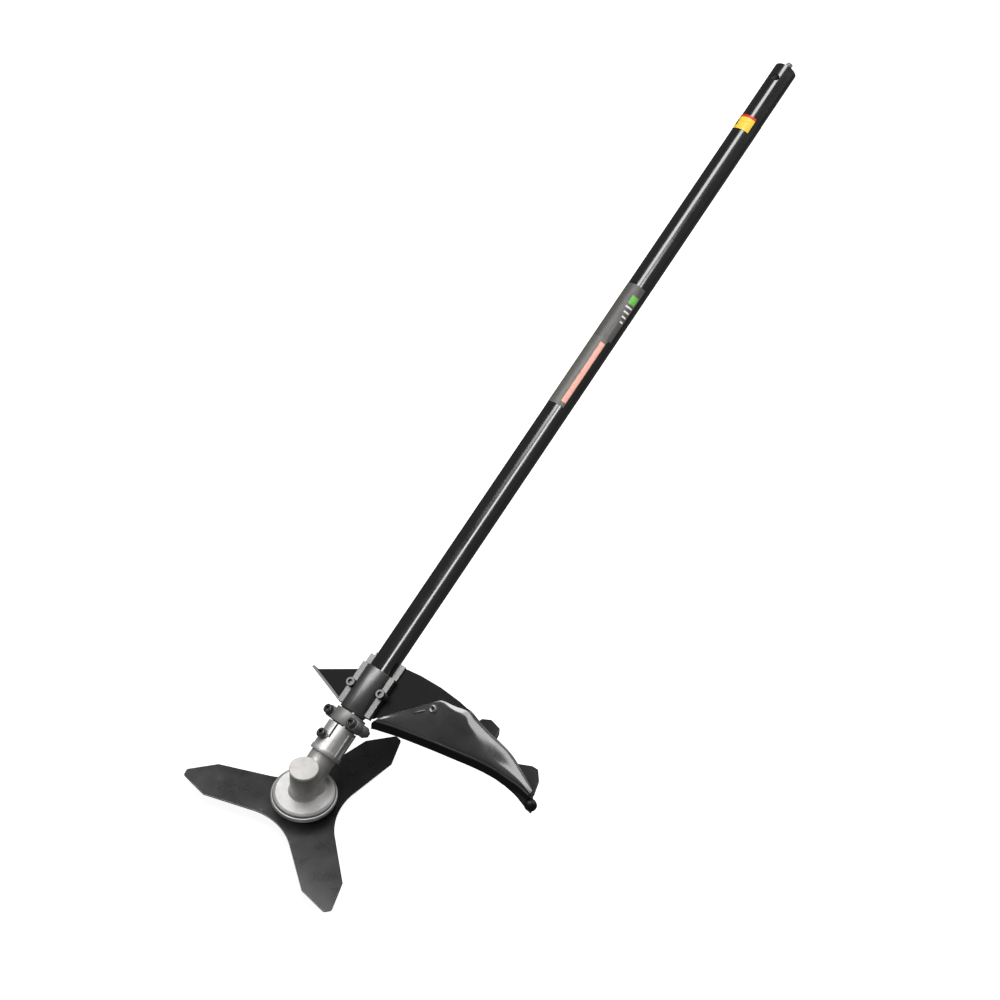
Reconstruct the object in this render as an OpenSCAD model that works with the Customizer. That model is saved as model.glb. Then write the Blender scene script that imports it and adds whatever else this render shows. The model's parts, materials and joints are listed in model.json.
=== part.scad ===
// Brush cutter attachment: straight shaft, bevel gear head, three-tooth blade and guard.
// Millimetres. Z is the spindle axis, the shaft rises towards +Y, Z = 0 is the glide cup's foot.

/* [Shaft] */
// Outside diameter of the shaft tube
tube_d = 26; // [24:0.5:30]
// Wall thickness of the shaft tube
tube_wall = 1.5; // [1:0.1:2.5]
// Distance from the gear centre to the tube's upper end
tube_end = 926; // [600:1:1500]
// Angle of the shaft above the cutting plane
shaft_angle = 30; // [20:1:45]
// Diameter of the drive shaft
drive_d = 8; // [6:0.5:10]

/* [Blade] */
// Cutting diameter of the blade
blade_d = 255; // [200:1:305]
// Thickness of the blade
blade_t = 1.8; // [1.2:0.1:3]
// Centre hole of the blade
blade_bore = 25.4; // [20:0.1:25.4]
// Width of each blade arm at its shoulders
arm_w = 40; // [25:0.5:60]
// Width of each blade arm at its root
arm_root_w = 45; // [30:0.5:70]
// Distance from the centre to an arm's shoulders
arm_shoulder = 99.7; // [80:0.1:120]
// Direction of the first arm, measured from +X
arm_angle = -39; // [-60:1:60]

/* [Gear head] */
// Outside diameter of the spindle housing
head_d = 28; // [26:0.5:60]
// Height of the spindle housing's top above the ground face
head_top = 73; // [70:1:90]
// Diameter of the housing's lower flange
flange_d = 62; // [50:1:80]
// Diameter of the blade carrier's rim
carrier_d = 66.8; // [60:0.1:90]
// Diameter of the grease cap
cap_d = 29.2; // [28:0.1:60]
// Teeth on the pinion
pinion_teeth = 14; // [11:1:20]
// Teeth on the driven gear
gear_teeth = 19; // [15:1:40]

/* [Guard] */
// Thickness of the guard's wall
guard_t = 2.6; // [2:0.1:5]
// Depth of the guard's front lip
lip_depth = 13; // [6:1:30]

/* [Hidden] */
$fn = 96;

gap = 0.05;
tube_r = tube_d / 2;
bore_r = tube_r - tube_wall;
drive_r = drive_d / 2;
drive_end = tube_end + 9.5;
square_af = 5.6;
square_low = 31;
square_low_end = 58;
hex_s = 905;
axis_z = 48.3;
tube_start = 44;
spigot_s = tube_end - 73;
spigot_r = tube_r - 0.25;
lock_s = tube_end - 18.5;
lock_r = 4;

blade_top = 18;
blade_low = blade_top - blade_t;
arm_tip_w = 9;
arm_fillet_r = 62;
fillet_far = (arm_fillet_r + arm_root_w / 2) / sin(60);
pilot_r = blade_bore / 2;

cone = 16.5;
face = 6;
gear_ratio = gear_teeth / pinion_teeth;
meet = 90 - shaft_angle;
pinion_cone = atan(sin(meet) / (gear_ratio + cos(meet)));
gear_cone = meet - pinion_cone;
tooth_m = 2 * cone * sin(gear_cone) / gear_teeth;
pressure = 20;
backlash = 0.28;
addendum = 0.62 * tooth_m;
dedendum = 1.0 * tooth_m;
gear_z = axis_z + cone * cos(gear_cone);
pinion_s = cone * cos(pinion_cone);

spindle_r = 6;
spindle_top_r = 4;
thread_r = 5;
spindle_low = 1.2;
head_r = head_d / 2;
cavity_r = 11.2;
pinion_room_r = 8.4;
seal_z = 37.2;
seal_t = 2.8;
low_bearing_z = 40.3;
low_bearing_w = 6;
up_bearing_z = 63.9;
up_bearing_w = 7;
flange_z = 37;
flange_rim = 1.6;
flange_top = 40.3;
flange_top_r = 28.3;

neck_r = 16;
neck_low_r = 13.9;
neck_end = 68;
lip_low = 35.5;
lip_high = 40.5;
lip_r = 16.8;
pin_bearing_r = 11;
pin_bearing_w = 6;
pin_bearing_1 = 21;
pin_bearing_2 = 33;
slit_low = 52;
slit_w = 1.8;
locate_s = 51.7;
locate_angle = -25;

collar_low = 69.3;
collar_high = 84;
collar_turn = -20;
collar_x = 18.5;
collar_s = 75.5;
collar_ear_r = 6;
collar_ear_h = 9.8;

clamp_low = 85.5;
clamp_high = 135;
clamp_r = 15;
clamp_flange = 20.3;
clamp_flange_top = 5;
clamp_ear_r = 5;
clamp_x = 17.2;
clamp_s = 112.5;
clamp_stagger = 2.5;
saddle_low = 88;
saddle_high = 150;
flange_end_left = 146;
flange_end_right = 152;
saddle_r = 15.6;
saddle_flange_low = -2;
plate_low = -4.6;

m5_r = 2.5;
m5_head_r = 4.8;
m5_head_h = 5.6;
m5_socket_r = 2.7;
m5_nut_r = 4.62;
m5_nut_h = 4;

// Local frame of the shaft: Z runs up the shaft, -Y points to its upper side
module along() { translate([0, 0, axis_z]) rotate([shaft_angle - 90, 0, 0]) children(); }

// Turns the shaft frame so that +Z is the shaft's upper side and X stays X
module upright(s) { translate([0, 0, s]) rotate([90, 0, 0]) children(); }

module ring(r_out, r_in, h) {
  difference() {
    cylinder(r = r_out, h = h);
    translate([0, 0, -1]) cylinder(r = r_in, h = h + 2);
  }
}

module half_ring(r_out, r_in, h, clear) {
  difference() {
    ring(r_out, r_in, h);
    translate([-r_out - 1, -clear, -1]) cube([2 * r_out + 2, r_out + 2, h + 2]);
  }
}

// ---- Shaft ----
module shaft_tube() {
  color([0.05, 0.05, 0.06]) along() difference() {
    union() {
      translate([0, 0, tube_start]) ring(tube_r, bore_r, spigot_s - tube_start);
      translate([0, 0, spigot_s]) ring(spigot_r, bore_r, tube_end - spigot_s);
    }
    upright(lock_s) translate([0, 0, bore_r - 3]) cylinder(r = lock_r, h = tube_wall + 5);
  }
}

module tube_top_bush() {
  color([0.2, 0.2, 0.2]) along() translate([0, 0, tube_end - 50]) ring(bore_r, drive_r + gap, 18);
}

module shaft_bushes() {
  color([0.85, 0.84, 0.78]) along()
    for (s = [150, 340, 530, 720]) translate([0, 0, s]) difference() {
      ring(bore_r, drive_r + gap, 24);
      for (a = [0:60:300]) rotate([0, 0, a]) translate([bore_r - 1.6, 0, 4]) cylinder(r = 1.4, h = 30);
    }
}

module drive_shaft() {
  color([0.6, 0.6, 0.62]) along() union() {
    translate([-square_af / 2, -square_af / 2, square_low])
      cube([square_af, square_af, square_low_end + 2 - square_low]);
    translate([0, 0, square_low_end]) cylinder(r = drive_r, h = hex_s - square_low_end);
    translate([0, 0, hex_s - 1]) cylinder(r = drive_r - gap, h = drive_end - hex_s + 1, $fn = 6);
  }
}

module wrap(low, high, r_in, r_out, start, sweep) {
  along() translate([0, 0, low]) rotate([0, 0, start]) rotate_extrude(angle = sweep)
    translate([r_in, 0]) square([r_out - r_in, high - low]);
}

module band_red() { color([0.75, 0.12, 0.1]) wrap(spigot_s - 3, spigot_s, tube_r, tube_r + 0.25, -180, 130); }

module band_yellow() {
  color([0.9, 0.78, 0.1]) wrap(spigot_s - 19, spigot_s - 3, tube_r, tube_r + 0.2, -180, 130);
}

module label_upper() { color([0.55, 0.56, 0.57]) wrap(552, 621, tube_r, tube_r + 0.2, -170, 138); }

module label_lower() { color([0.62, 0.63, 0.64]) wrap(465, 552, tube_r, tube_r + 0.2, -170, 122); }

module label_stripe() { color([0.85, 0.4, 0.35]) wrap(470, 547, tube_r + 0.2, tube_r + 0.35, -75, 24); }

// ---- Bevel gears: one common apex where the shaft axis meets the spindle axis ----
function inv(a) = tan(a) * 180 / PI - a;
function tooth_arc(h, zv) =
  let (r = tooth_m * zv / 2 + h, rb = tooth_m * zv / 2 * cos(pressure))
  r * PI / 180 * (90 / zv * (1 - backlash) + inv(pressure) - (r > rb ? inv(acos(rb / r)) : 0));
function tooth_point(h, teeth, delta, side) =
  let (rb = cone * sin(delta) + h * cos(delta), zb = cone * cos(delta) - h * sin(delta),
       a = side * tooth_arc(h, teeth / cos(delta)) / rb * 180 / PI, r = rb * cone * cos(delta) / zb)
  [r * cos(a), r * sin(a)];
heights = [-dedendum, -0.5 * addendum, 0, 0.5 * addendum, addendum];
function turned(p, a) = [p[0] * cos(a) - p[1] * sin(a), p[0] * sin(a) + p[1] * cos(a)];
function bevel_outline(teeth, delta, phase) = [
  for (i = [0:teeth - 1]) for (k = [0:9])
    turned(
      tooth_point(k < 5 ? heights[k] : heights[9 - k], teeth, delta, k < 5 ? -1 : 1),
      phase + i * 360 / teeth
    )
];

// Stands with its apex at the origin and its big end at height cone * cos(delta)
module bevel(teeth, delta, phase) {
  big = cone * cos(delta);
  small = (cone - face) * cos(delta);
  translate([0, 0, big]) mirror([0, 0, 1])
    linear_extrude(height = big - small, scale = small / big) polygon(bevel_outline(teeth, delta, phase));
}

module pinion() {
  color([0.5, 0.5, 0.52]) along() difference() {
    union() {
      bevel(pinion_teeth, pinion_cone, -90);
      translate([0, 0, pinion_s]) cylinder(r = 6.4, h = pin_bearing_1 - pinion_s);
      translate([0, 0, pin_bearing_1]) cylinder(r = 5, h = 21);
    }
    translate([-square_af / 2, -square_af / 2, square_low]) cube([square_af, square_af, 20]);
  }
}

module driven_gear() {
  color([0.45, 0.45, 0.48]) difference() {
    union() {
      translate([0, 0, axis_z]) bevel(gear_teeth, gear_cone, 90 + 180 / gear_teeth);
      translate([0, 0, gear_z]) cylinder(r = 6, h = up_bearing_z - gear_z);
    }
    translate([0, 0, axis_z]) cylinder(r = spindle_top_r, h = 30);
  }
}

// ---- Ball bearings ----
module race(r, w, pitch, ball, wall) {
  rotate_extrude() difference() {
    translate([r < pitch ? r : r - wall, 0]) square([wall, w]);
    translate([pitch, w / 2]) circle(r = ball + gap / 2, $fn = 48);
  }
}

module balls(pitch, w, ball, count) {
  union() {
    for (i = [0:count - 1])
      rotate([0, 0, i * 360 / count]) translate([pitch, 0, w / 2]) sphere(r = ball, $fn = 32);
    translate([0, 0, w / 2 - 0.6]) ring(pitch + 0.6, pitch - 0.6, 1.2);
  }
}

module pinion_bearing_outer() {
  color([0.7, 0.7, 0.72]) along() for (s = [pin_bearing_1, pin_bearing_2]) translate([0, 0, s])
    race(pin_bearing_r, pin_bearing_w, 8, 1.6, 1.7);
}

module pinion_bearing_inner() {
  color([0.7, 0.7, 0.72]) along() for (s = [pin_bearing_1, pin_bearing_2]) translate([0, 0, s])
    race(5, pin_bearing_w, 8, 1.6, 1.7);
}

module pinion_bearing_balls() {
  color([0.8, 0.8, 0.82]) along() for (s = [pin_bearing_1, pin_bearing_2]) translate([0, 0, s])
    balls(8, pin_bearing_w, 1.6, 11);
}

module pinion_circlip() {
  color([0.3, 0.3, 0.32]) along() translate([0, 0, pin_bearing_2 + pin_bearing_w]) difference() {
    ring(11.8, 9.8, 1.2);
    translate([-2, 0, -1]) cube([4, 20, 4]);
  }
}

module upper_bearing_outer() {
  color([0.7, 0.7, 0.72]) translate([0, 0, up_bearing_z]) race(11, up_bearing_w, 7.5, 2, 1.9);
}

module upper_bearing_inner() {
  color([0.7, 0.7, 0.72]) translate([0, 0, up_bearing_z]) race(4, up_bearing_w, 7.5, 2, 1.9);
}

module upper_bearing_balls() {
  color([0.8, 0.8, 0.82]) translate([0, 0, up_bearing_z]) balls(7.5, up_bearing_w, 2, 8);
}

module lower_bearing_outer() {
  color([0.7, 0.7, 0.72]) translate([0, 0, low_bearing_z]) race(12, low_bearing_w, 9, 1.6, 1.7);
}

module lower_bearing_inner() {
  color([0.7, 0.7, 0.72]) translate([0, 0, low_bearing_z]) race(spindle_r, low_bearing_w, 9, 1.6, 1.7);
}

module lower_bearing_balls() {
  color([0.8, 0.8, 0.82]) translate([0, 0, low_bearing_z]) balls(9, low_bearing_w, 1.6, 12);
}

module spindle_seal() {
  color([0.15, 0.12, 0.1]) translate([0, 0, seal_z]) ring(12, 8 + gap, seal_t);
}

// ---- Spindle and what it carries ----
module spindle() {
  color([0.6, 0.6, 0.63]) union() {
    translate([0, 0, spindle_low]) cylinder(r = thread_r, h = 20);
    for (z = [spindle_low + 0.8:1.5:blade_low - 2])
      translate([0, 0, z]) cylinder(r = thread_r + 0.25, h = 0.6);
    translate([0, 0, blade_low + 0.6]) cylinder(r = spindle_r, h = 30);
    translate([0, 0, low_bearing_z + low_bearing_w]) cylinder(r = 7, h = 1.5);
    translate([0, 0, 40]) cylinder(r = spindle_top_r, h = up_bearing_z + up_bearing_w - 40);
  }
}

module blade_carrier() {
  rim_r = carrier_d / 2;
  color([0.72, 0.72, 0.73]) rotate_extrude() polygon([
    [spindle_r, blade_low + 0.6], [pilot_r, blade_low + 0.6], [pilot_r, blade_top], [20, blade_top],
    [20, blade_top + 4], [26, flange_z - 8], [rim_r, flange_z - 4.6], [rim_r, flange_z - 1.4],
    [rim_r - 0.9, flange_z - 0.5], [flange_d / 2 + 0.5, flange_z - 0.5], [flange_d / 2 - 0.5, flange_z - 2.6],
    [28, flange_z - 4], [9, flange_z - 5], [8, flange_z - 4], [8, low_bearing_z], [spindle_r, low_bearing_z]
  ]);
}

function arm_points(a) = [for (p = [
  [arm_shoulder, -arm_w / 2], [blade_d / 2 - 1, -arm_tip_w / 2], [blade_d / 2, -arm_tip_w / 2 + 1.5],
  [blade_d / 2, arm_tip_w / 2 - 1.5], [blade_d / 2 - 1, arm_tip_w / 2], [arm_shoulder, arm_w / 2]
]) turned(p, a)];

function fillet_points(a) = [for (t = [210:-4:150])
  turned([fillet_far + arm_fillet_r * cos(t), arm_fillet_r * sin(t)], a)];

module blade() {
  color([0.07, 0.07, 0.07]) translate([0, 0, blade_low]) rotate([0, 0, arm_angle]) difference() {
    linear_extrude(height = blade_t)
      polygon([for (a = [0, 120, 240]) each concat(arm_points(a), fillet_points(a + 60))]);
    translate([0, 0, -1]) cylinder(r = pilot_r, h = blade_t + 2);
  }
}

module clamp_washer() {
  color([0.65, 0.65, 0.66]) translate([0, 0, blade_low - 3.4]) ring(19, thread_r + 0.4, 3.4);
}

module glide_cup() {
  top = blade_low - 3.4;
  color([0.3, 0.3, 0.31]) rotate_extrude() polygon([
    [thread_r + 0.4, 9.6], [11, 9.6], [12, 0.6], [12.6, 0], [20, 0], [25, 2.4], [29, 7.5], [30, 11.2],
    [29, top - 0.6], [27, top], [thread_r + 0.4, top]
  ]);
}

module blade_nut() {
  color([0.7, 0.7, 0.7]) translate([0, 0, 1.8]) difference() {
    union() {
      cylinder(r = 9.8, h = 7.4, $fn = 6);
      translate([0, 0, 6.4]) cylinder(r = 10, h = 1.4);
    }
    translate([0, 0, -1]) cylinder(r = thread_r + 0.25, h = 12);
  }
}

// ---- Gear housing ----
module gearcase_solid() {
  union() {
    rotate_extrude() polygon([
      [0, flange_z], [flange_d / 2, flange_z], [flange_d / 2, flange_z + flange_rim],
      [flange_top_r, flange_top],
      [head_r + 2, flange_top], [head_r, flange_top + 2], [head_r, head_top], [0, head_top]
    ]);
    translate([0, 9, flange_top - 1]) cylinder(r1 = 17, r2 = 13.5, h = 13);
    along() union() {
      translate([0, 0, 4]) cylinder(r = neck_low_r, h = lip_low - 4);
      translate([0, 0, lip_low]) cylinder(r = lip_r, h = lip_high - lip_low);
      translate([0, 0, lip_high]) cylinder(r = neck_r, h = neck_end - lip_high);
      for (a = [61, 82]) rotate([0, 0, a]) translate([-0.9, -neck_r - 1.4, lip_high - 2]) cube([1.8, 3, 26]);
      rotate([0, 0, locate_angle]) upright(locate_s) translate([0, 0, tube_r + 1]) cylinder(r = 5.6, h = 2.6);
      rotate([0, 0, 180]) upright(45) translate([0, 0, tube_r]) cylinder(r = 5.2, h = 5);
    }
  }
}

module gearcase() {
  color([0.78, 0.78, 0.77]) difference() {
    gearcase_solid();
    translate([0, 0, 20]) cylinder(r = 12, h = low_bearing_z + low_bearing_w - 20);
    translate([0, 0, low_bearing_z + 2]) cylinder(r = cavity_r, h = up_bearing_z - low_bearing_z - 2);
    translate([0, 0, up_bearing_z - 1]) cylinder(r = 11, h = 20);
    translate([0, 0, up_bearing_z + up_bearing_w + 0.1]) cylinder(r = 12, h = 20);
    along() union() {
      translate([0, 0, 5]) cylinder(r = pinion_room_r, h = 30);
      translate([0, 0, pin_bearing_1]) cylinder(r = pin_bearing_r, h = 30);
      translate([0, 0, pin_bearing_2 + pin_bearing_w]) cylinder(r = 11.8, h = 1.2);
      translate([0, 0, tube_start]) cylinder(r = tube_r, h = 40);
      translate([-slit_w / 2, -neck_r - 6, slit_low]) cube([slit_w, 12, 30]);
      rotate([0, 0, locate_angle]) upright(locate_s) translate([0, 0, tube_r - 2]) cylinder(r = m5_r, h = 12);
      rotate([0, 0, 180]) upright(45) translate([0, 0, 8]) cylinder(r = 3, h = 20);
    }
  }
}

module gearcase_cap() {
  color([0.8, 0.79, 0.76]) union() {
    translate([0, 0, up_bearing_z + up_bearing_w + 0.2]) cylinder(r = 12, h = 3);
    translate([0, 0, head_top]) cylinder(r = cap_d / 2, h = 2.2);
    translate([0, 0, head_top + 2.2]) cylinder(r1 = cap_d / 2, r2 = cap_d / 2 - 0.8, h = 0.8);
  }
}

// Socket head screw: its seat is at height 0 and the shank goes down
module screw(shank) {
  difference() {
    union() {
      cylinder(r = m5_head_r, h = m5_head_h - 0.5);
      translate([0, 0, m5_head_h - 0.5]) cylinder(r1 = m5_head_r, r2 = m5_head_r - 0.5, h = 0.5);
      translate([0, 0, -shank]) cylinder(r = m5_r, h = shank);
    }
    translate([0, 0, m5_head_h - 3]) cylinder(r = m5_socket_r, h = 4, $fn = 6);
  }
}

module nut() {
  difference() {
    rotate([0, 0, 30]) cylinder(r = m5_nut_r, h = m5_nut_h, $fn = 6);
    translate([0, 0, -1]) cylinder(r = m5_r, h = m5_nut_h + 2);
  }
}

module locating_screw() {
  color([0.6, 0.6, 0.6]) along() rotate([0, 0, locate_angle]) upright(locate_s)
    translate([0, 0, tube_r + 3.6]) screw(3.5);
}

module grease_plug() {
  color([0.55, 0.55, 0.57]) along() rotate([0, 0, 180]) upright(45) union() {
    translate([0, 0, tube_r + 5]) cylinder(r = 4.8, h = 3, $fn = 6);
    translate([0, 0, tube_r]) cylinder(r = 3, h = 5.5);
  }
}

// ---- Collar: two halves, turned about the shaft ----
module collar_frame() { along() rotate([0, 0, collar_turn]) children(); }

module collar_half(h_ear) {
  clear = 0.4;
  difference() {
    union() {
      translate([0, 0, collar_low]) half_ring(tube_r + 3.4, tube_r, collar_high - collar_low, clear);
      for (x = [-collar_x, collar_x])
        upright(collar_s) translate([x, 0, clear]) cylinder(r = collar_ear_r, h = h_ear);
      for (x = [-collar_x, 13.2]) translate([x, -7.4, collar_s - 5]) cube([collar_x - 13.2, 7, 10]);
    }
    translate([0, 0, collar_low - 1]) cylinder(r = tube_r, h = 20);
    for (x = [-collar_x, collar_x]) upright(collar_s) translate([x, 0, -1]) cylinder(r = m5_r, h = 30);
  }
}

module collar_upper() { color([0.74, 0.74, 0.73]) collar_frame() collar_half(collar_ear_h); }

module collar_lower() { color([0.7, 0.7, 0.7]) collar_frame() mirror([0, 1, 0]) collar_half(collar_ear_h); }

module collar_screws() {
  color([0.6, 0.6, 0.6]) collar_frame() for (x = [-collar_x, collar_x])
    upright(collar_s) translate([x, 0, collar_ear_h + 0.4]) screw(2 * collar_ear_h + 5);
}

module collar_nuts() {
  color([0.62, 0.62, 0.62]) collar_frame() for (x = [-collar_x, collar_x])
    upright(collar_s) translate([x, 0, -collar_ear_h - 0.4 - m5_nut_h]) nut();
}

// ---- Guard clamp ----
module clamp_places() {
  for (side = [-1, 1]) upright(clamp_s + side * clamp_stagger) translate([side * clamp_x, 0, 0]) children();
}

// Screw holes, the seats of the heads above and the pockets of the nuts below
module clamp_holes() {
  clamp_places() union() {
    translate([0, 0, -30]) cylinder(r = m5_r, h = 60);
    translate([0, 0, clamp_flange_top]) cylinder(r = m5_head_r + gap, h = 20);
    translate([0, 0, plate_low - 25]) cylinder(r = m5_nut_r + 0.3, h = 25);
  }
}

module guard_clamp() {
  color([0.75, 0.75, 0.74]) along() difference() {
    union() {
      translate([0, 0, clamp_low]) half_ring(clamp_r, tube_r, clamp_high - clamp_low, 0.3);
      for (side = [0, 1]) mirror([side, 0, 0])
        translate([tube_r + 0.2, -clamp_flange_top, clamp_low + 3])
          cube([clamp_flange - tube_r - 0.2, clamp_flange_top - 0.3, clamp_high - clamp_low - 3]);
      clamp_places() translate([0, 0, 0.3]) cylinder(r = clamp_ear_r, h = clamp_flange_top - 0.3);
    }
    clamp_holes();
    translate([0, 0, clamp_low - 1]) cylinder(r = tube_r, h = 60);
  }
}

module guard_saddle() {
  color([0.72, 0.72, 0.71]) along() difference() {
    union() {
      translate([0, 0, saddle_low]) mirror([0, 1, 0])
        half_ring(saddle_r, tube_r, saddle_high - saddle_low, 0);
      translate([tube_r + 0.2, 0, saddle_low])
        cube([clamp_flange - tube_r - 0.2, -saddle_flange_low, flange_end_right - saddle_low]);
      translate([-clamp_flange, 0, saddle_low])
        cube([clamp_flange - tube_r - 0.2, -saddle_flange_low, flange_end_left - saddle_low]);
      clamp_places() translate([0, 0, saddle_flange_low]) cylinder(r = clamp_ear_r, h = -saddle_flange_low);
    }
    clamp_holes();
    translate([0, 0, saddle_low - 1]) cylinder(r = tube_r, h = 70);
  }
}

module guard_clamp_screws() {
  color([0.6, 0.6, 0.6]) along() clamp_places() translate([0, 0, clamp_flange_top]) screw(15);
}

module guard_clamp_nuts() {
  color([0.62, 0.62, 0.62]) along() clamp_places() translate([0, 0, plate_low - m5_nut_h]) nut();
}

// ---- Guard ----
plate_outline = [
  [-61, 103.6], [20, 151], [38, 153], [63, 153.5], [88, 151.5], [101, 149.3], [69, 143.5],
  [20, 91], [-20.6, 89.5]
];
wing_front = [[-65.4, 102.7], [-20.6, 88.4], [-20.6, 91], [-64.6, 105.1]];
wing_rise = 4.5;
rear_depth = 20;
wing_depth = 10;

// Draws a flat outline of [x, distance up the shaft] and gives it depth under the plate's top face
module under_plate(depth) {
  translate([0, depth - plate_low - guard_t, 0]) rotate([90, 0, 0]) linear_extrude(height = depth) children();
}

module guard_plate() {
  color([0.12, 0.12, 0.12]) along() difference() {
    union() {
      under_plate(guard_t) polygon(plate_outline);
      translate([0, 0, 89]) mirror([0, 1, 0])
        half_ring(saddle_r + guard_t, saddle_r, 50, -plate_low - guard_t);
      under_plate(rear_depth) difference() {
        polygon(plate_outline);
        translate([0, -guard_t]) polygon(plate_outline);
      }
      translate([0, -wing_rise, 0]) under_plate(wing_depth + wing_rise) polygon(wing_front);
    }
    clamp_holes();
    translate([0, 0, 80]) cylinder(r = saddle_r, h = 80);
    translate([-saddle_r, -6, 80]) cube([2 * saddle_r, 6, 80]);
  }
}

// Cross-sections of the dome: x, then front edge, ridge, rear shoulder and skirt foot as [y, z]
dome = [
  [24, [82, 91], [83.5, 92], [86.5, 92.4], [88, 86]],
  [45, [91, 88], [102, 101.6], [107.3, 104], [109, 96]],
  [69, [99, 85], [122.5, 113.6], [130, 117.1], [133, 104]],
  [85, [104, 83], [122.5, 115], [132, 118.2], [138, 92]],
  [101, [109, 80.5], [122, 113], [133.8, 119.4], [144, 62]],
  [110, [112, 79], [123, 103], [136, 110], [148, 32]],
  [123, [116, 77], [121, 90], [138, 101], [151, 20]],
  [134, [119, 75], [123, 82], [140, 94], [151, 17]],
  [147, [121.5, 72.5], [127, 79], [140, 87], [150, 15]],
  [157, [122.5, 70], [129, 76], [139, 80], [148, 15]],
  [172, [124, 67], [128, 71], [134, 72], [141, 18]],
  [186, [123, 64], [125, 66], [128, 66], [132, 26]]
];

function mix(a, b, t) = a * (1 - t) + b * t;
function bulged(a, b, t, out) =
  mix(a, b, t) + 4 * t * (1 - t) * out * [-(b - a)[1], (b - a)[0]] / max(norm(b - a), 1);
function outer_line(s) = concat(
  [for (t = [0:0.25:1]) bulged(s[1], s[2], t, 1.2)],
  [for (t = [0.34, 0.67, 1]) bulged(s[2], s[3], t, 0.8)],
  [for (t = [0.25:0.25:1]) bulged(s[3], s[4], t, 1.5)]
);
function unit2(v) = v / max(norm(v), 0.001);
function inward(l, i) =
  let (d = unit2(l[min(i + 1, len(l) - 1)] - l[max(i - 1, 0)])) [d[1], -d[0]] * guard_t;
function shell_loop(s) =
  let (l = outer_line(s), n = len(l))
  concat([for (p = l) [s[0], p[0], p[1]]],
         [for (i = [n - 1:-1:0]) let (q = l[i] + inward(l, i)) [s[0], q[0], q[1]]]);

// Joins closed loops of equal length into one solid
module loft(loops) {
  n = len(loops[0]);
  m = len(loops);
  polyhedron(
    points = [for (l = loops) for (p = l) p],
    faces = concat(
      [[for (i = [0:n - 1]) i]],
      [[for (i = [n - 1:-1:0]) (m - 1) * n + i]],
      [for (k = [0:m - 2]) for (i = [0:n - 1]) [k * n + i, (k + 1) * n + i, k * n + (i + 1) % n]],
      [for (k = [0:m - 2]) for (i = [0:n - 1])
          [k * n + (i + 1) % n, (k + 1) * n + i, (k + 1) * n + (i + 1) % n]]
    )
  );
}

module guard_dome() { color([0.1, 0.1, 0.11]) loft([for (s = dome) shell_loop(s)]); }

// Front lip: runs along the dome's front edge and ends in a rounded knob
lip_round = 2.2;
lip_back = -0.05;
lip_fade = 0.15;
function lip_loop(x, y, z, depth) = [
  [x, y + lip_back, z + 0.6], [x, y - 2.4, z + 0.6], [x, y - 3.8, z - 0.8],
  [x, y - 3.8, z - depth + lip_round],
  [x, y - 2.4, z - depth], [x, y + lip_back - 1, z - depth], [x, y + lip_back, z - depth + lip_round]
];

module guard_lip() {
  end_s = dome[len(dome) - 1];
  color([0.06, 0.06, 0.06]) union() {
    loft(concat(
      [lip_loop(21.5, 80.5, 89, lip_depth - 3)],
      [for (s = dome) lip_loop(s[0], s[1][0], s[1][1] + 0.8, lip_depth - lip_fade * max(0, s[0] - 157))]
    ));
    translate([end_s[0] + 3.5, end_s[1][0] - 2, end_s[1][1] - 12]) sphere(r = 6.8);
  }
}

// Lugs on the outside of the skirt that a line guard would hook on to
module lug(pts, h) { linear_extrude(height = h) polygon(pts); }

module guard_lugs() {
  color([0.1, 0.1, 0.1]) union() {
    translate([0, 0, 64]) lug([[92, 146], [96, 164], [104, 169], [118, 165], [122, 150]], 9);
    translate([0, 0, 54])
      lug([[150, 140], [152, 151], [165, 158], [172, 158], [181, 147], [187, 130], [180, 128]], 4);
  }
}

module guard_rivet() {
  color([0.45, 0.45, 0.46]) translate([67, 115.2, 110.2]) rotate([52, 0, 12]) union() {
    cylinder(r = 4, h = 2.4);
    translate([0, 0, -6]) cylinder(r = 2, h = 7);
  }
}

shaft_tube();
tube_top_bush();
shaft_bushes();
drive_shaft();
band_red();
band_yellow();
label_upper();
label_lower();
label_stripe();
pinion();
pinion_bearing_outer();
pinion_bearing_inner();
pinion_bearing_balls();
pinion_circlip();
driven_gear();
spindle();
upper_bearing_outer();
upper_bearing_inner();
upper_bearing_balls();
lower_bearing_outer();
lower_bearing_inner();
lower_bearing_balls();
spindle_seal();
gearcase();
gearcase_cap();
locating_screw();
grease_plug();
blade_carrier();
blade();
clamp_washer();
glide_cup();
blade_nut();
collar_upper();
collar_lower();
collar_screws();
collar_nuts();
guard_clamp();
guard_saddle();
guard_clamp_screws();
guard_clamp_nuts();
guard_plate();
guard_dome();
guard_lip();
guard_lugs();
guard_rivet();
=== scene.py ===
"""Looks of the brush cutter attachment: materials, smooth guard shell, film marks,
floor, light and camera."""
import json
import math

import bmesh
import bpy
from mathutils import Matrix, Vector


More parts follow.
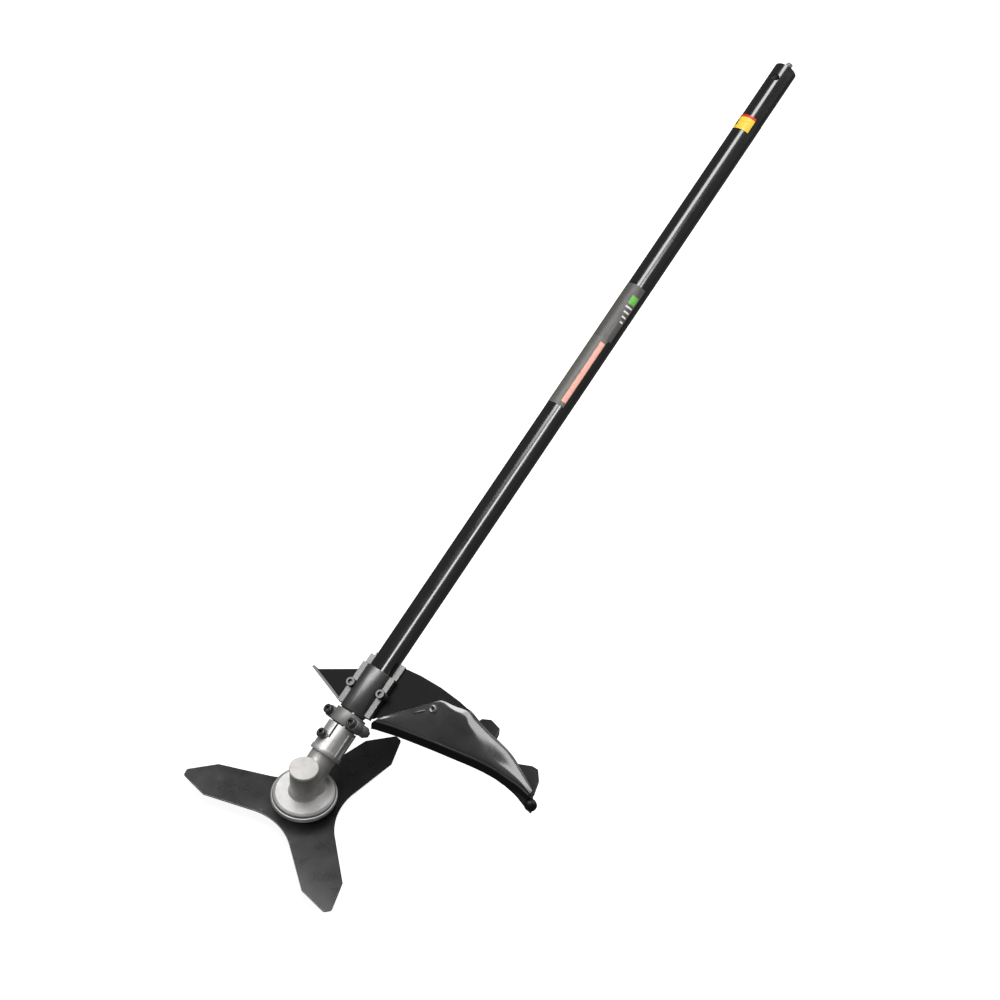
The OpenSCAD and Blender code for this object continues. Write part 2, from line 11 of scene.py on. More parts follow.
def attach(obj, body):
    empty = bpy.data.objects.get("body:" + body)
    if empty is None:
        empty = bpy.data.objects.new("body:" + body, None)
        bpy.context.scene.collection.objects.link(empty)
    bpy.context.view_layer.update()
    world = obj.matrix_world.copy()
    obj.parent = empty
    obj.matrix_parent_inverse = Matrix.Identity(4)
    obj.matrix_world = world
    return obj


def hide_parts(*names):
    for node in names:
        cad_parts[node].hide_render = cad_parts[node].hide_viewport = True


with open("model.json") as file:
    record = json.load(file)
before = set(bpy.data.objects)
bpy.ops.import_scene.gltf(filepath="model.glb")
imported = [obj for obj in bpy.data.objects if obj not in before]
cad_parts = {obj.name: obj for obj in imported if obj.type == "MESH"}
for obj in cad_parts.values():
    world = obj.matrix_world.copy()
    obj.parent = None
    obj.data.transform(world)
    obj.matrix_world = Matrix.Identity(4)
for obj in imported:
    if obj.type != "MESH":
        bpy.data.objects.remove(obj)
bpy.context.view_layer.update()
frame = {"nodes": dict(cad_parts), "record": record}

MM = 0.001
# The shaft's axis leaves the spindle's at AXIS_Z and climbs towards +Y by SHAFT_ANGLE.
# UP_SHAFT runs along it, and OFF_SHAFT square to it on its upper side.
SHAFT_ANGLE = math.radians(30)
AXIS_Z = 48.3 * MM
UP_SHAFT = Vector((0, math.cos(SHAFT_ANGLE), math.sin(SHAFT_ANGLE)))
OFF_SHAFT = Vector((0, -math.sin(SHAFT_ANGLE), math.cos(SHAFT_ANGLE)))
scene = bpy.context.scene
nodes = frame["nodes"]


def link(obj):
    scene.collection.objects.link(obj)
    return obj


# ---- Materials ----
class Nodes:
    """A small helper round one material's node tree."""

    def __init__(self, name):
        self.mat = bpy.data.materials.new(name)
        self.mat.use_nodes = True
        self.tree = self.mat.node_tree
        self.shader = self.tree.nodes["Principled BSDF"]
        self.coords = self.tree.nodes.new("ShaderNodeTexCoord").outputs["Object"]

    def add(self, kind, **inputs):
        node = self.tree.nodes.new("ShaderNode" + kind)
        for key, value in inputs.items():
            self.set(node.inputs[key.replace("_", " ")], value)
        return node

    def set(self, socket, value):
        if isinstance(value, bpy.types.NodeSocket):
            self.tree.links.new(value, socket)
        else:
            socket.default_value = value

    def noise(self, scale, detail, lay=None):
        """lay is (tilt of the grain's long way from +Z towards +Y, how long the grain is)."""
        vector = self.coords
        if lay:
            mapping = self.add("Mapping", Vector=self.coords, Rotation=(-lay[0], 0, 0), Scale=(1, 1, lay[1]))
            mapping.vector_type = "TEXTURE"
            vector = mapping.outputs["Vector"]
        node = self.add("TexNoise", Vector=vector, Scale=scale, Detail=detail, Roughness=0.55)
        return node.outputs["Fac"]

    def spread(self, value, low, high, out_low, out_high):
        node = self.add("MapRange", Value=value)
        for key, number in (("From Min", low), ("From Max", high), ("To Min", out_low), ("To Max", out_high)):
            node.inputs[key].default_value = number
        return node.outputs["Result"]

    def math(self, operation, a, b):
        node = self.tree.nodes.new("ShaderNodeMath")
        node.operation = operation
        node.use_clamp = True
        self.set(node.inputs[0], a)
        self.set(node.inputs[1], b)
        return node.outputs[0]

    def mix(self, factor, a, b):
        node = self.tree.nodes.new("ShaderNodeMix")
        node.data_type = "RGBA"
        self.set(node.inputs["Factor"], factor)
        self.set(node.inputs["A"], a)
        self.set(node.inputs["B"], b)
        return node.outputs["Result"]

    def edge(self, radius):
        """1 on sharp edges and 0 on flat or smooth ground, where the bevelled normal is the plain one."""
        bevel = self.tree.nodes.new("ShaderNodeBevel")
        bevel.samples = 4
        bevel.inputs["Radius"].default_value = radius
        plain = self.tree.nodes.new("ShaderNodeNewGeometry")
        dot = self.tree.nodes.new("ShaderNodeVectorMath")
        dot.operation = "DOT_PRODUCT"
        self.set(dot.inputs[0], bevel.outputs["Normal"])
        self.set(dot.inputs[1], plain.outputs["Normal"])
        return self.spread(dot.outputs["Value"], 0.995, 0.9, 0, 1), bevel.outputs["Normal"]

    def along(self, way, source=None):
        """Distance of the point along a direction of the row frame, or how far the surface faces it."""
        dot = self.tree.nodes.new("ShaderNodeVectorMath")
        dot.operation = "DOT_PRODUCT"
        self.set(dot.inputs[0], source or self.coords)
        self.set(dot.inputs[1], tuple(way))
        return dot.outputs["Value"]

    def facing(self, way):
        return self.along(way, self.tree.nodes.new("ShaderNodeTexCoord").outputs["Normal"])

    def bump(self, height, strength, distance, normal=None):
        node = self.add("Bump", Height=height, Strength=strength, Distance=distance)
        if normal:
            self.set(node.inputs["Normal"], normal)
        return node.outputs["Normal"]

    def finish(self, **inputs):
        for key, value in inputs.items():
            self.set(self.shader.inputs[key.replace("_", " ")], value)
        return self.mat


def grey(v, warm=0.0):
    return (v * (1 + warm), v, v * (1 - warm), 1)


def cast_metal(name, shade, warm, rough, grain, pits, metal=0.6):
    """Blasted and painted die casting: fine grain, soft blotches, brighter worn edges."""
    n = Nodes(name)
    wear, rounded = n.edge(0.5 * MM)
    blotch = n.noise(60, 3)
    fine = n.noise(grain, 3)
    scuff = n.spread(n.noise(220, 6), 0.58, 0.7, 0, 1)
    base = n.mix(n.spread(blotch, 0.35, 0.65, 0, 1), grey(shade * 0.9, warm), grey(shade * 1.06, warm))
    base = n.mix(n.math("MULTIPLY", scuff, 0.35), base, grey(shade * 0.62, warm))
    base = n.mix(n.math("MULTIPLY", wear, 0.5), base, grey(min(shade * 1.35, 0.95)))
    roughness = n.spread(fine, 0.3, 0.7, rough - 0.07, rough + 0.09)
    normal = n.bump(fine, pits, 0.25 * MM, rounded)
    return n.finish(Base_Color=base, Metallic=metal, Roughness=roughness, Normal=normal)


def steel(name, shade, rough, brush, wear_shade=0.75):
    """Turned or brushed steel: fine streaks, small stains and bright edges."""
    n = Nodes(name)
    wear, rounded = n.edge(0.3 * MM)
    streak = n.noise(brush, 5, (0, 12))
    stain = n.spread(n.noise(130, 5), 0.5, 0.68, 0, 1)
    base = n.mix(n.spread(streak, 0.3, 0.7, 0, 1), grey(shade * 0.82), grey(shade * 1.12))
    base = n.mix(n.math("MULTIPLY", stain, 0.3), base, (shade * 0.55, shade * 0.48, shade * 0.4, 1))
    base = n.mix(n.math("MULTIPLY", wear, 0.6), base, grey(wear_shade))
    roughness = n.spread(streak, 0.3, 0.7, rough - 0.06, rough + 0.1)
    normal = n.bump(streak, 0.12, 0.1 * MM, rounded)
    return n.finish(Base_Color=base, Metallic=0.95, Roughness=roughness, Normal=normal)


def gloss_paint(name, shade, rough, peel, scratch, level=0.5, ior=1.5, edge=None):
    """Black enamel: orange peel, a few dull scuffs and hair scratches, and edges rubbed through
    over edge millimetres where asked."""
    n = Nodes(name)
    rounded = None
    peel_map = n.noise(peel, 2)
    dust = n.noise(45, 6)
    hair = n.spread(n.noise(900, 3, (math.pi / 2 - SHAFT_ANGLE, 30)), 0.66, 0.72, 0, 1)
    scuff = n.math("MULTIPLY", n.spread(dust, 0.55, 0.7, 0, 1), hair)
    base = n.mix(n.spread(dust, 0.3, 0.7, 0, 1), grey(shade * 0.75), grey(shade * 1.3, 0.02))
    base = n.mix(n.math("MULTIPLY", scuff, scratch), base, grey(0.16))
    if edge:
        wear, rounded = n.edge(edge * MM)
        base = n.mix(n.math("MULTIPLY", wear, 0.6), base, grey(0.3))
    roughness = n.math("ADD", n.spread(dust, 0.3, 0.7, rough, rough + 0.07), n.math("MULTIPLY", scuff, 0.08))
    normal = n.bump(peel_map, 0.03, 0.12 * MM, rounded)
    return n.finish(
        Base_Color=base, Metallic=0, Roughness=roughness, Normal=normal, Specular_IOR_Level=level, IOR=ior)


def plastic(name, shade, rough, grain, pits, level=0.5, dirt=0.05, wall_reflection_tone=None):
    """Moulded plastic: spark-eroded grain, dusty bloom. Where a wall tone is given, faces that stand square
    to the guard's plate, and all that rises above it, get a painted reflection: a lighter grey of that tone,
    and glossier."""
    n = Nodes(name)
    fine = n.noise(grain, 3)
    bloom = n.noise(28, 5)
    base = n.mix(n.spread(bloom, 0.35, 0.7, 0, 1), grey(shade * 0.8), grey(shade * 1.35, 0.02))
    dust = n.spread(n.noise(320, 6), 0.62, 0.74, 0, 1)
    base = n.mix(n.math("MULTIPLY", dust, dirt), base, grey(0.3, 0.05))
    roughness = n.spread(bloom, 0.3, 0.7, rough - 0.05, rough + 0.08)
    if wall_reflection_tone:
        above = n.along(OFF_SHAFT)
        plate_top = AXIS_Z * OFF_SHAFT.z - 1.6 * MM
        proud = n.spread(above, plate_top, plate_top + 0.4 * MM, 0, 1)
        upright = n.spread(n.facing(UP_SHAFT), -0.5, -0.8, 0, 1)
        # Painted reflection: these faces are painted a lighter grey in place of the light that black plastic
        # would reflect there
        painted_reflection_mask = n.math("MAXIMUM", proud, upright)
        painted_reflection = n.mix(n.spread(bloom, 0.35, 0.7, 0, 1), grey(wall_reflection_tone * 0.8), grey(wall_reflection_tone * 1.2))
        base = n.mix(painted_reflection_mask, base, painted_reflection)
        roughness = n.spread(painted_reflection_mask, 0, 1, rough, 0.3)
    normal = n.bump(fine, pits, 0.2 * MM)
    return n.finish(Base_Color=base, Roughness=roughness, Normal=normal, Specular_IOR_Level=level)


def film(name, colour, rough):
    """Printed film: faint print grain, a slight gloss change and rubbed spots."""
    n = Nodes(name)
    grain = n.noise(700, 3)
    rub = n.spread(n.noise(170, 5), 0.56, 0.72, 0, 1)
    dark = tuple(c * 0.8 for c in colour) + (1,)
    light = tuple(min(c * 1.12, 1) for c in colour) + (1,)
    base = n.mix(n.spread(grain, 0.3, 0.7, 0, 1), dark, light)
    base = n.mix(n.math("MULTIPLY", rub, 0.3), base, tuple(c * 0.55 for c in colour) + (1,))
    roughness = n.spread(rub, 0, 1, rough, rough + 0.14)
    normal = n.bump(grain, 0.05, 0.05 * MM)
    return n.finish(Base_Color=base, Roughness=roughness, Normal=normal, Specular_IOR_Level=0.4)


# Metals: shade, warmth, roughness, grain scale, pits, metallic share. Steel: shade, roughness, streak scale,
# worn shade. Paint: shade, roughness, peel scale, scratches, gloss. Plastic: shade, roughness, grain scale,
# pits, gloss, dirt. Film: colour, roughness.
MATERIALS = {
    "tube_black": gloss_paint("tube_black", 0.004, 0.16, 420, 0.4, 0.5, ior=2.2),
    "blade_black": gloss_paint("blade_black", 0.004, 0.25, 900, 0.5, 0.35, edge=0.3),
    "nylon": plastic("nylon", 0.55, 0.5, 900, 0.1, dirt=0.1),
    "steel": steel("steel", 0.35, 0.3, 500),
    "race_steel": steel("race_steel", 0.6, 0.16, 900, 0.85),
    "zinc_steel": steel("zinc_steel", 0.15, 0.36, 650, 0.45),
    "cast_alloy": cast_metal("cast_alloy", 0.5, 0.015, 0.42, 1500, 0.12),
    "clamp_alloy": cast_metal("clamp_alloy", 0.19, 0.01, 0.4, 1200, 0.22, 0.9),
    "collar_alloy": cast_metal("collar_alloy", 0.27, 0.01, 0.46, 1200, 0.2, 0.4),
    "carrier_steel": cast_metal("carrier_steel", 0.6, 0.0, 0.36, 700, 0.05, 0.7),
    "cap_alloy": cast_metal("cap_alloy", 0.74, 0.03, 0.5, 1700, 0.08, 0.4),
    "seal_rubber": plastic("seal_rubber", 0.02, 0.6, 800, 0.2),
    "red_film": film("red_film", (0.62, 0.05, 0.02), 0.3),
    "yellow_film": film("yellow_film", (0.9, 0.6, 0.06), 0.32),
    "grey_film": film("grey_film", (0.1, 0.094, 0.088), 0.3),
    "light_film": film("light_film", (0.125, 0.122, 0.11), 0.32),
    "salmon_film": film("salmon_film", (0.95, 0.42, 0.34), 0.35),
    "mark_light": film("mark_light", (0.8, 0.8, 0.77), 0.35),
    "mark_green": film("mark_green", (0.15, 0.5, 0.07), 0.35),
    "mark_dark": film("mark_dark", (0.03, 0.03, 0.02), 0.35),
    # The guard plate's front walls and raised faces carry a painted reflection in grey 0.3
    "plate_black": plastic("plate_black", 0.005, 0.5, 1400, 0.3, 0.14, wall_reflection_tone=0.3),
    "lip_black": plastic("lip_black", 0.006, 0.4, 1400, 0.2, 0.35),
    "dome_black": plastic("dome_black", 0.02, 0.2, 300, 0.03, 0.8, 0.03),
    "button_grey": plastic("button_grey", 0.05, 0.18, 300, 0.03, 1.0, 0.03),
}
# Nodes that look different from the rest of their material slot
OWN_LOOK = {
    "blade_carrier": "carrier_steel", "gearcase_cap": "cap_alloy", "guard_rivet": "button_grey",
    "collar_upper": "collar_alloy", "collar_lower": "collar_alloy",
}


def dress(obj, name):
    """Gives obj one material in place of whatever it came with."""
    obj.data.materials.clear()
    obj.data.materials.append(MATERIALS[name])


slots = {part["node"]: part["material_slot"] for part in frame["record"]["subparts"]}
for node, obj in nodes.items():
    dress(obj, OWN_LOOK.get(node, slots[node]))


# ---- Broken edges on the CAD pieces that show ----
BEVEL_FROM = math.radians(38)
WELD_WITHIN = 0.002 * MM


def soften(node, width):
    """Bevels a CAD node's sharp edges through modifiers, so its own mesh stays as it came."""
    obj = nodes[node]
    weld = obj.modifiers.new("weld", "WELD")
    weld.merge_threshold = WELD_WITHIN
    bevel = obj.modifiers.new("bevel", "BEVEL")
    bevel.width = width * MM
    bevel.segments = 2
    bevel.limit_method = "ANGLE"
    bevel.angle_limit = BEVEL_FROM
    bevel.harden_normals = True


# Bevel width of each node that shows, in millimetres
SOFT_EDGES = {
    "gearcase": 0.5, "gearcase_cap": 0.4, "blade_carrier": 0.3, "blade": 0.35, "collar_upper": 0.6,
    "collar_lower": 0.6, "guard_clamp": 0.45, "guard_saddle": 0.45, "guard_plate": 0.5, "guard_lugs": 0.8,
    "collar_screws": 0.25, "guard_clamp_screws": 0.25, "locating_screw": 0.25, "collar_nuts": 0.3,
    "guard_clamp_nuts": 0.3, "grease_plug": 0.3, "blade_nut": 0.4, "glide_cup": 0.4, "clamp_washer": 0.3,
}
for node, width in SOFT_EDGES.items():
    soften(node, width)


# ---- Own meshes, all on the body that stands still ----
def shaped(name, verts, faces, material, smooth_deg):
    """A mesh object in the row frame from plain lists, with smooth shading up to an angle."""
    mesh = bpy.data.meshes.new(name)
    mesh.from_pydata(verts, [], faces)
    work = bmesh.new()
    work.from_mesh(mesh)
    bmesh.ops.recalc_face_normals(work, faces=work.faces)
    for face in work.faces:
        face.smooth = True
    for edge in work.edges:
        edge.smooth = len(edge.link_faces) == 2 and edge.calc_face_angle(0) < math.radians(smooth_deg)
    work.to_mesh(mesh)
    work.free()
    obj = link(bpy.data.objects.new(name, mesh))
    dress(obj, material)
    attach(obj, "head")
    return obj


def on_tube(s, angle, radius):
    """Point at s up the shaft, angle round it (0 on top, positive towards +X) and radius, all in metres."""
    x = radius * math.sin(angle)
    off = radius * math.cos(angle)
    p = UP_SHAFT * s + OFF_SHAFT * off
    return Vector((x, p.y, AXIS_Z + p.z))


def loft(name, rows, material, smooth_deg):
    """Closed solid through closed rows of equal length."""
    n = len(rows[0])
    faces = []
    for k in range(len(rows) - 1):
        for i in range(n):
            j = (i + 1) % n
            faces.append((k * n + i, (k + 1) * n + i, (k + 1) * n + j, k * n + j))
    faces.append(tuple(range(n)))
    faces.append(tuple(len(rows) * n - 1 - i for i in range(n)))
    return shaped(name, [p for row in rows for p in row], faces, material, smooth_deg)


# Outer radius of the labels, and thickness of the marks on them, in millimetres
LABEL_R = 13.2
FILM_T = 0.08


def film_patch(name, s0, s1, a0, a1, material, slant=0.0):
    """A thin closed piece of film lying on the label, from s0 to s1 up the shaft and from angle
    a0 to a1 round it, with its far end turned by slant."""
    rows = []
    steps = max(2, int(abs(a1 - a0) / 4))
    for s, turn in ((s0, 0), (s1, slant)):
        angles = [math.radians(a0 + (a1 - a0) * i / steps + turn) for i in range(steps + 1)]
        inner = [on_tube(s * MM, a, LABEL_R * MM) for a in angles]
        outer = [on_tube(s * MM, a, (LABEL_R + FILM_T) * MM) for a in angles]
        rows.append(inner + outer[::-1])
    return loft(name, rows, material, 30)


# ---- Guard shell: smooth versions of the faceted dome and lip ----
# x, then front edge, ridge, rear shoulder and skirt foot as (y, z), in millimetres
DOME = [
    (24, (82, 91), (83.5, 92), (86.5, 92.4), (88, 86)),
    (45, (91, 88), (102, 101.6), (107.3, 104), (109, 96)),
    (69, (99, 85), (122.5, 113.6), (130, 117.1), (133, 104)),
    (85, (104, 83), (122.5, 115), (132, 118.2), (138, 92)),
    (101, (109, 80.5), (122, 113), (133.8, 119.4), (144, 62)),
    (110, (112, 79), (122, 104), (136, 111), (148, 32)),
    (123, (116, 77), (122, 91), (138, 101), (151, 20)),
    (134, (119, 75), (123.8, 83.4), (139.6, 94), (151, 17)),
    (147, (121.5, 72.5), (127, 79), (140, 87), (150, 15)),
    (157, (122.5, 70), (129, 76), (139, 80), (148, 15)),
    (172, (124, 67), (128, 71), (134, 72), (141, 18)),
    (186, (123, 64), (125, 66), (128, 66), (132, 26)),
]
DOME_START, DOME_END = DOME[0][0], DOME[-1][0]
FRONT, RIDGE, REAR, FOOT = 1, 2, 3, 4
WALL = 2.6
PANEL_BULGE = 1.2


def at_station(x, corner):
    """(y, z) of one corner line of the dome at x, on a smooth curve through the stations."""
    xs = [row[0] for row in DOME]
    k = max(i for i in range(len(xs) - 1) if xs[i] <= x + 1e-9)
    t = (x - xs[k]) / (xs[k + 1] - xs[k])

    def slope(i, axis):
        a, b = max(i - 1, 0), min(i + 1, len(xs) - 1)
        return (DOME[b][corner][axis] - DOME[a][corner][axis]) / (xs[b] - xs[a])

    span = xs[k + 1] - xs[k]
    out = []
    for axis in (0, 1):
        p0, p1 = DOME[k][corner][axis], DOME[k + 1][corner][axis]
        m0, m1 = slope(k, axis) * span, slope(k + 1, axis) * span
        t2, t3 = t * t, t * t * t
        out.append(
            (2 * t3 - 3 * t2 + 1) * p0 + (t3 - 2 * t2 + t) * m0 + (3 * t2 - 2 * t3) * p1 + (t3 - t2) * m1)
    return Vector(out)


def bulged(a, b, t, out):
    """Point at t of the way from a to b, on a shallow arch that stands out by out at its middle."""
    way = b - a
    normal = Vector((-way.y, way.x)) / max(way.length, 1)
    return a.lerp(b, t) + normal * (4 * t * (1 - t) * out)


def dome_outline(x):
    """Outer line of the dome's section at x: panel, crown and skirt, with both corners rounded."""
    front, ridge, rear, foot = (at_station(x, corner) for corner in (FRONT, RIDGE, REAR, FOOT))
    line = [bulged(front, ridge, t / 10, PANEL_BULGE) for t in range(10)]
    line += [bulged(ridge, rear, t / 8, 0.8) for t in range(8)]
    line += [bulged(rear, foot, t / 12, 1.5) for t in range(13)]
    for _ in range(3):
        rounded = [(line[i - 1] + line[i] * 2 + line[i + 1]) / 4 for i in range(1, len(line) - 1)]
        line = [line[0]] + rounded + [line[-1]]
    return line


def dome_row(x):
    """Closed section of the dome at x: its outer line, and back along the inside."""
    outer = dome_outline(x)
    inner = []
    for i, q in enumerate(outer):
        way = (outer[min(i + 1, len(outer) - 1)] - outer[max(i - 1, 0)]).normalized()
        inner.append(q + Vector((way.y, -way.x)) * WALL)
    return [Vector((x, q.x, q.y)) * MM for q in outer + inner[::-1]]


def stations(first, last, step):
    """Even places from first to last, about step apart."""
    count = int(round((last - first) / step))
    return [first + (last - first) * i / count for i in range(count + 1)]


dome = loft("dome", [dome_row(x) for x in stations(DOME_START, DOME_END, 2.5)], "dome_black", 55)
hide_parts("guard_dome")


# The lip's depth, where it starts to get shallower, and how much it loses for each millimetre after that.
# Its end beside the shaft runs past the dome, lower and less deep.
LIP_DEPTH = 13
LIP_TAPER_FROM = 157
LIP_TAPER = 0.15
LIP_END_X = 21.5
LIP_END_FRONT = (80.5, 88.2)


def lip_row(x, front, depth):
    """Rounded bar in front of the dome's edge: a flat back, a bead along the top and a rolled
    lower edge."""
    y, z = front
    z += 0.8
    corners = (
        (y - 1.9, z - 1.3, 1.9, 90),
        (y - 1.9, z - depth + 2, 1.9, 180),
        (y - 1.4, z - depth + 1.6, 1.35, 270),
    )
    row = []
    for centre_y, centre_z, radius, start in corners:
        for i in range(5):
            a = math.radians(start + i * 22.5)
            row.append(Vector((x, centre_y + radius * math.cos(a), centre_z + radius * math.sin(a))) * MM)
    row.append(Vector((x, y - 0.05, z - 2)) * MM)
    row.append(Vector((x, y - 0.4, z + 0.4)) * MM)
    return row


lip_rows = [lip_row(LIP_END_X, LIP_END_FRONT, LIP_DEPTH - 3)]
for x in stations(DOME_START, DOME_END, 3):
    lip_rows.append(lip_row(x, at_station(x, FRONT), LIP_DEPTH - LIP_TAPER * max(0, x - LIP_TAPER_FROM)))
lip = loft("lip", lip_rows, "lip_black", 50)


# How far the middle ring of a bulb stands out, as a factor
PARTING = 1.02


def bulb(name, centre, axes, material):
    """A closed rounded body with three half-axes, and a fine parting ridge round its middle."""
    rings, sides = 14, 28
    first, second, pole = axes
    verts, faces = [], []
    for k in range(1, rings):
        a = math.pi * k / rings
        flat = math.sin(a) * (PARTING if k == rings // 2 else 1)
        for i in range(sides):
            b = 2 * math.pi * i / sides
            level = centre + pole * math.cos(a)
            verts.append(level + first * (flat * math.cos(b)) + second * (flat * math.sin(b)))
    verts += [centre + pole, centre - pole]
    top, bottom = len(verts) - 2, len(verts) - 1
    for k in range(rings - 2):
        for i in range(sides):
            j = (i + 1) % sides
            faces.append((k * sides + i, (k + 1) * sides + i, (k + 1) * sides + j, k * sides + j))
    for i in range(sides):
        j = (i + 1) % sides
        faces.append((top, i, j))
        faces.append((bottom, (rings - 2) * sides + j, (rings - 2) * sides + i))
    return shaped(name, verts, faces, material, 60)


# Knob on the lip's far end: its radius, and its place from there in millimetres
KNOB_R = 6.8 * MM
KNOB_OFF = Vector((3.3, -2, -12))
end_front = at_station(DOME_END, FRONT)
knob_at = (Vector((DOME_END, end_front.x, end_front.y)) + KNOB_OFF) * MM
knob_axes = (Vector((KNOB_R, 0, 0)), Vector((0, KNOB_R * 0.92, 0)), Vector((0, 0, KNOB_R)))
knob = bulb("lip_knob", knob_at, knob_axes, "lip_black")
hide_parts("guard_lip")

# Ring and core of the fastener on the dome, and the tapered rib beside it
BUTTON_X = 67
RIB_X = BUTTON_X - 11
panel_front, panel_ridge = at_station(BUTTON_X, FRONT), at_station(BUTTON_X, RIDGE)
spot = bulged(panel_front, panel_ridge, 0.85, PANEL_BULGE)
slope = (panel_ridge - panel_front).normalized()
out_of_panel = Vector((0, -slope.y, slope.x))
up_panel = Vector((0, slope.x, slope.y))
button_at = Vector((BUTTON_X, spot.x, spot.y)) * MM + out_of_panel * 0.8 * MM


def turned(name, centre, pole, profile, material):
    """A turned piece from (radius, height) points in millimetres, about an axis through centre."""
    sides = 40
    side = pole.cross(Vector((1, 0, 0))).normalized()
    other = pole.cross(side)
    rows = []
    for i in range(sides):
        b = 2 * math.pi * i / sides
        spoke = side * math.cos(b) + other * math.sin(b)
        rows.append([centre + (spoke * r + pole * h) * MM for r, h in profile])
    n = len(profile)
    verts = [p for row in rows for p in row]
    faces = []
    for i in range(sides):
        j = (i + 1) % sides
        faces += [(i * n + k, j * n + k, j * n + (k + 1) % n, i * n + (k + 1) % n) for k in range(n)]
    return shaped(name, verts, faces, material, 45)


# Their sections as (radius, height), in millimetres
BUTTON = [
    (1.5, -1.5), (1.5, 0.4), (1.9, 0.7), (2.4, 1.4), (3.0, 1.7),
    (3.6, 1.5), (4.1, 0.8), (4.3, -0.4), (4.3, -1.5),
]
CORE = [(0.2, -5), (0.2, 0.1), (1.55, 0.1), (1.55, -5)]
button = turned("button_ring", button_at, out_of_panel, BUTTON, "button_grey")
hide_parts("guard_rivet")
core = turned("button_core", button_at, out_of_panel, CORE, "lip_black")
rib_spot = bulged(at_station(RIB_X, FRONT), at_station(RIB_X, RIDGE), 0.8, PANEL_BULGE)
rib_at = Vector((RIB_X, rib_spot.x, rib_spot.y)) * MM
to_button = (button_at - rib_at).normalized()
rib_axes = (up_panel * 1.6 * MM, out_of_panel * 1.1 * MM, to_button * 7 * MM)
rib = bulb("button_rib", rib_at, rib_axes, "dome_black")

# Generic marks: name, start and end up the shaft in millimetres, start and end angle in degrees,
# material, and how far the far end is turned
MARKS = [
    ("mark_chip", 599, 609, 18, 52, "mark_green"),
    ("mark_bar_1", 594, 596, 18, 52, "mark_light"),
    ("mark_bar_2", 588, 590, 24, 52, "mark_light"),
    ("mark_bar_3", 582, 584, 30, 52, "mark_light"),
    ("mark_bar_4", 576, 578, 36, 52, "mark_light"),
    ("mark_band", 839, 847, -52, -38, "mark_dark", -6),
]
marks = [film_patch(*mark) for mark in MARKS]

# ---- Floor, light, camera ----
FLOOR = 6.0
floor_mesh = bpy.data.meshes.new("floor")
corners = [(-FLOOR, -FLOOR, 0), (FLOOR, -FLOOR, 0), (FLOOR, FLOOR, 0), (-FLOOR, FLOOR, 0)]
floor_mesh.from_pydata(corners, [], [(0, 1, 2, 3)])
floor = link(bpy.data.objects.new("floor", floor_mesh))
paper = Nodes("paper")
tone = paper.mix(paper.noise(3, 2), grey(0.93), grey(0.95))
# White to the camera, but to the object a dark floor with a faint glow, so black parts stay black
seen = paper.tree.nodes.new("ShaderNodeLightPath").outputs["Is Camera Ray"]
floor_mesh.materials.append(paper.finish(
    Base_Color=paper.mix(seen, grey(0.1), tone), Roughness=0.9, Specular_IOR_Level=0.1,
    Emission_Color=(1, 1, 1, 1), Emission_Strength=paper.spread(seen, 0, 1, 0.04, 0.9)))

# Backdrop: white where the camera looks past the floor, a dim even room for the lighting
world = bpy.data.worlds.new("world")
scene.world = world
world.use_nodes = True
tree = world.node_tree
room = tree.nodes["Background"]
room.inputs["Color"].default_value = (1, 1, 1, 1)
room.inputs["Strength"].default_value = 0.13
backdrop = tree.nodes.new("ShaderNodeBackground")
backdrop.inputs["Color"].default_value = (1, 1, 1, 1)
path = tree.nodes.new("ShaderNodeLightPath")
either = tree.nodes.new("ShaderNodeMixShader")
tree.links.new(path.outputs["Is Camera Ray"], either.inputs[0])
tree.links.new(room.outputs[0], either.inputs[1])
tree.links.new(backdrop.outputs[0], either.inputs[2])
tree.links.new(either.outputs[0], tree.nodes["World Output"].inputs["Surface"])


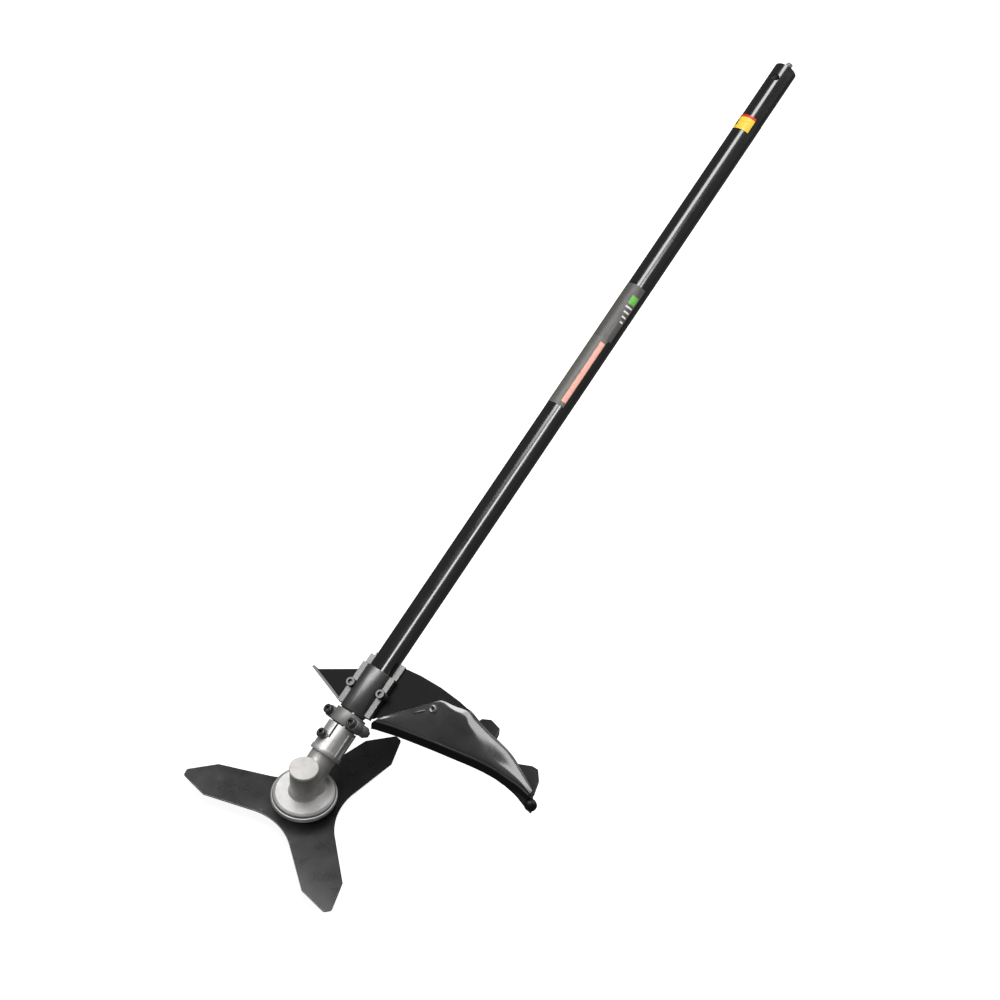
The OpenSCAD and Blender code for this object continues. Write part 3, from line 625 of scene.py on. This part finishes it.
def area(name, place, aim, size, power, along=None, only=()):
    """A rectangular soft light at place that faces aim, with its long side along a direction.
    With only, it lights just those pieces, as a flagged lamp would."""
    data = bpy.data.lights.new(name, "AREA")
    data.shape = "RECTANGLE"
    data.size, data.size_y = size
    data.energy = power
    lamp = link(bpy.data.objects.new(name, data))
    z = (Vector(place) - Vector(aim)).normalized()
    y = Vector(along or (0, 0, 1))
    y = (y - z * y.dot(z)).normalized()
    turn = Matrix((y.cross(z), y, z)).transposed().to_4x4()
    lamp.matrix_world = Matrix.Translation(Vector(place)) @ turn
    lamp.visible_camera = False
    if only:
        lit = bpy.data.collections.new(name + "_lit")
        for obj in only:
            lit.objects.link(obj)
        lamp.light_linking.receiver_collection = lit


films = [obj for node, obj in nodes.items() if node.startswith(("label", "band"))] + marks
not_tube = [obj for node, obj in nodes.items() if node != "shaft_tube"] + marks
not_tube += [dome, lip, knob, button, core, rib]
# Lamps: name, place, aim, size in metres, power in watts, long side's direction, pieces it lights.
# The strip lies in the shaft's direction, and shines back down to a point just past its top.
past_top = Vector((0, 0.9, 0.56))
area("strip", past_top + OFF_SHAFT * 2.0 + UP_SHAFT * 0.75, past_top, (0.9, 1.7), 24, UP_SHAFT)
area("key", (-0.8, -0.3, 1.9), (0, 0.1, 0.1), (1.2, 1.2), 22, only=not_tube)
area("glint", (0.62, -0.1, 1.35), (0, 0.3, 0.22), (0.3, 1.1), 7, UP_SHAFT, [nodes["shaft_tube"]] + films)
area("blade_card", (-0.12, -0.2, 0.35), (-0.12, -0.2, 0), (0.5, 0.56), 11, (1, 0, 0), [nodes["blade"]])
area("neck_fill", (-0.85, 0.5, 1.35), (0, 0.05, 0.08), (0.8, 0.8), 7, only=[nodes["gearcase"]])
area("rear", (0.7, 1.8, 1.1), (0, 0.3, 0.2), (1.2, 1.2), 10)
area("dome_strip", (0.25, -0.08, 0.9), (0.25, -0.08, 0), (0.6, 1.7), 20, (1, 0, 0), [dome, button, core, rib])
area("dome_side", (0.95, 0.02, 0.5), (0.1, 0.13, 0.1), (0.5, 0.5), 5, only=[dome])

# Camera: its place, its own right and backward directions, and its lens in millimetres
cam_data = bpy.data.cameras.new("camera")
cam = link(bpy.data.objects.new("camera", cam_data))
right = Vector((0.8039, 0.5903, 0.0726)).normalized()
back = Vector((0.3943, -0.6204, 0.678)).normalized()
up = back.cross(right).normalized()
right = up.cross(back).normalized()
cam_place = Vector((0.6967, -0.7885, 1.415))
cam.matrix_world = Matrix.Translation(cam_place) @ Matrix((right, up, back)).transposed().to_4x4()
cam_data.sensor_width = 36
cam_data.lens = 61.5
cam_data.clip_start, cam_data.clip_end = 0.05, 50
scene.camera = cam
scene.view_settings.view_transform = "Standard"
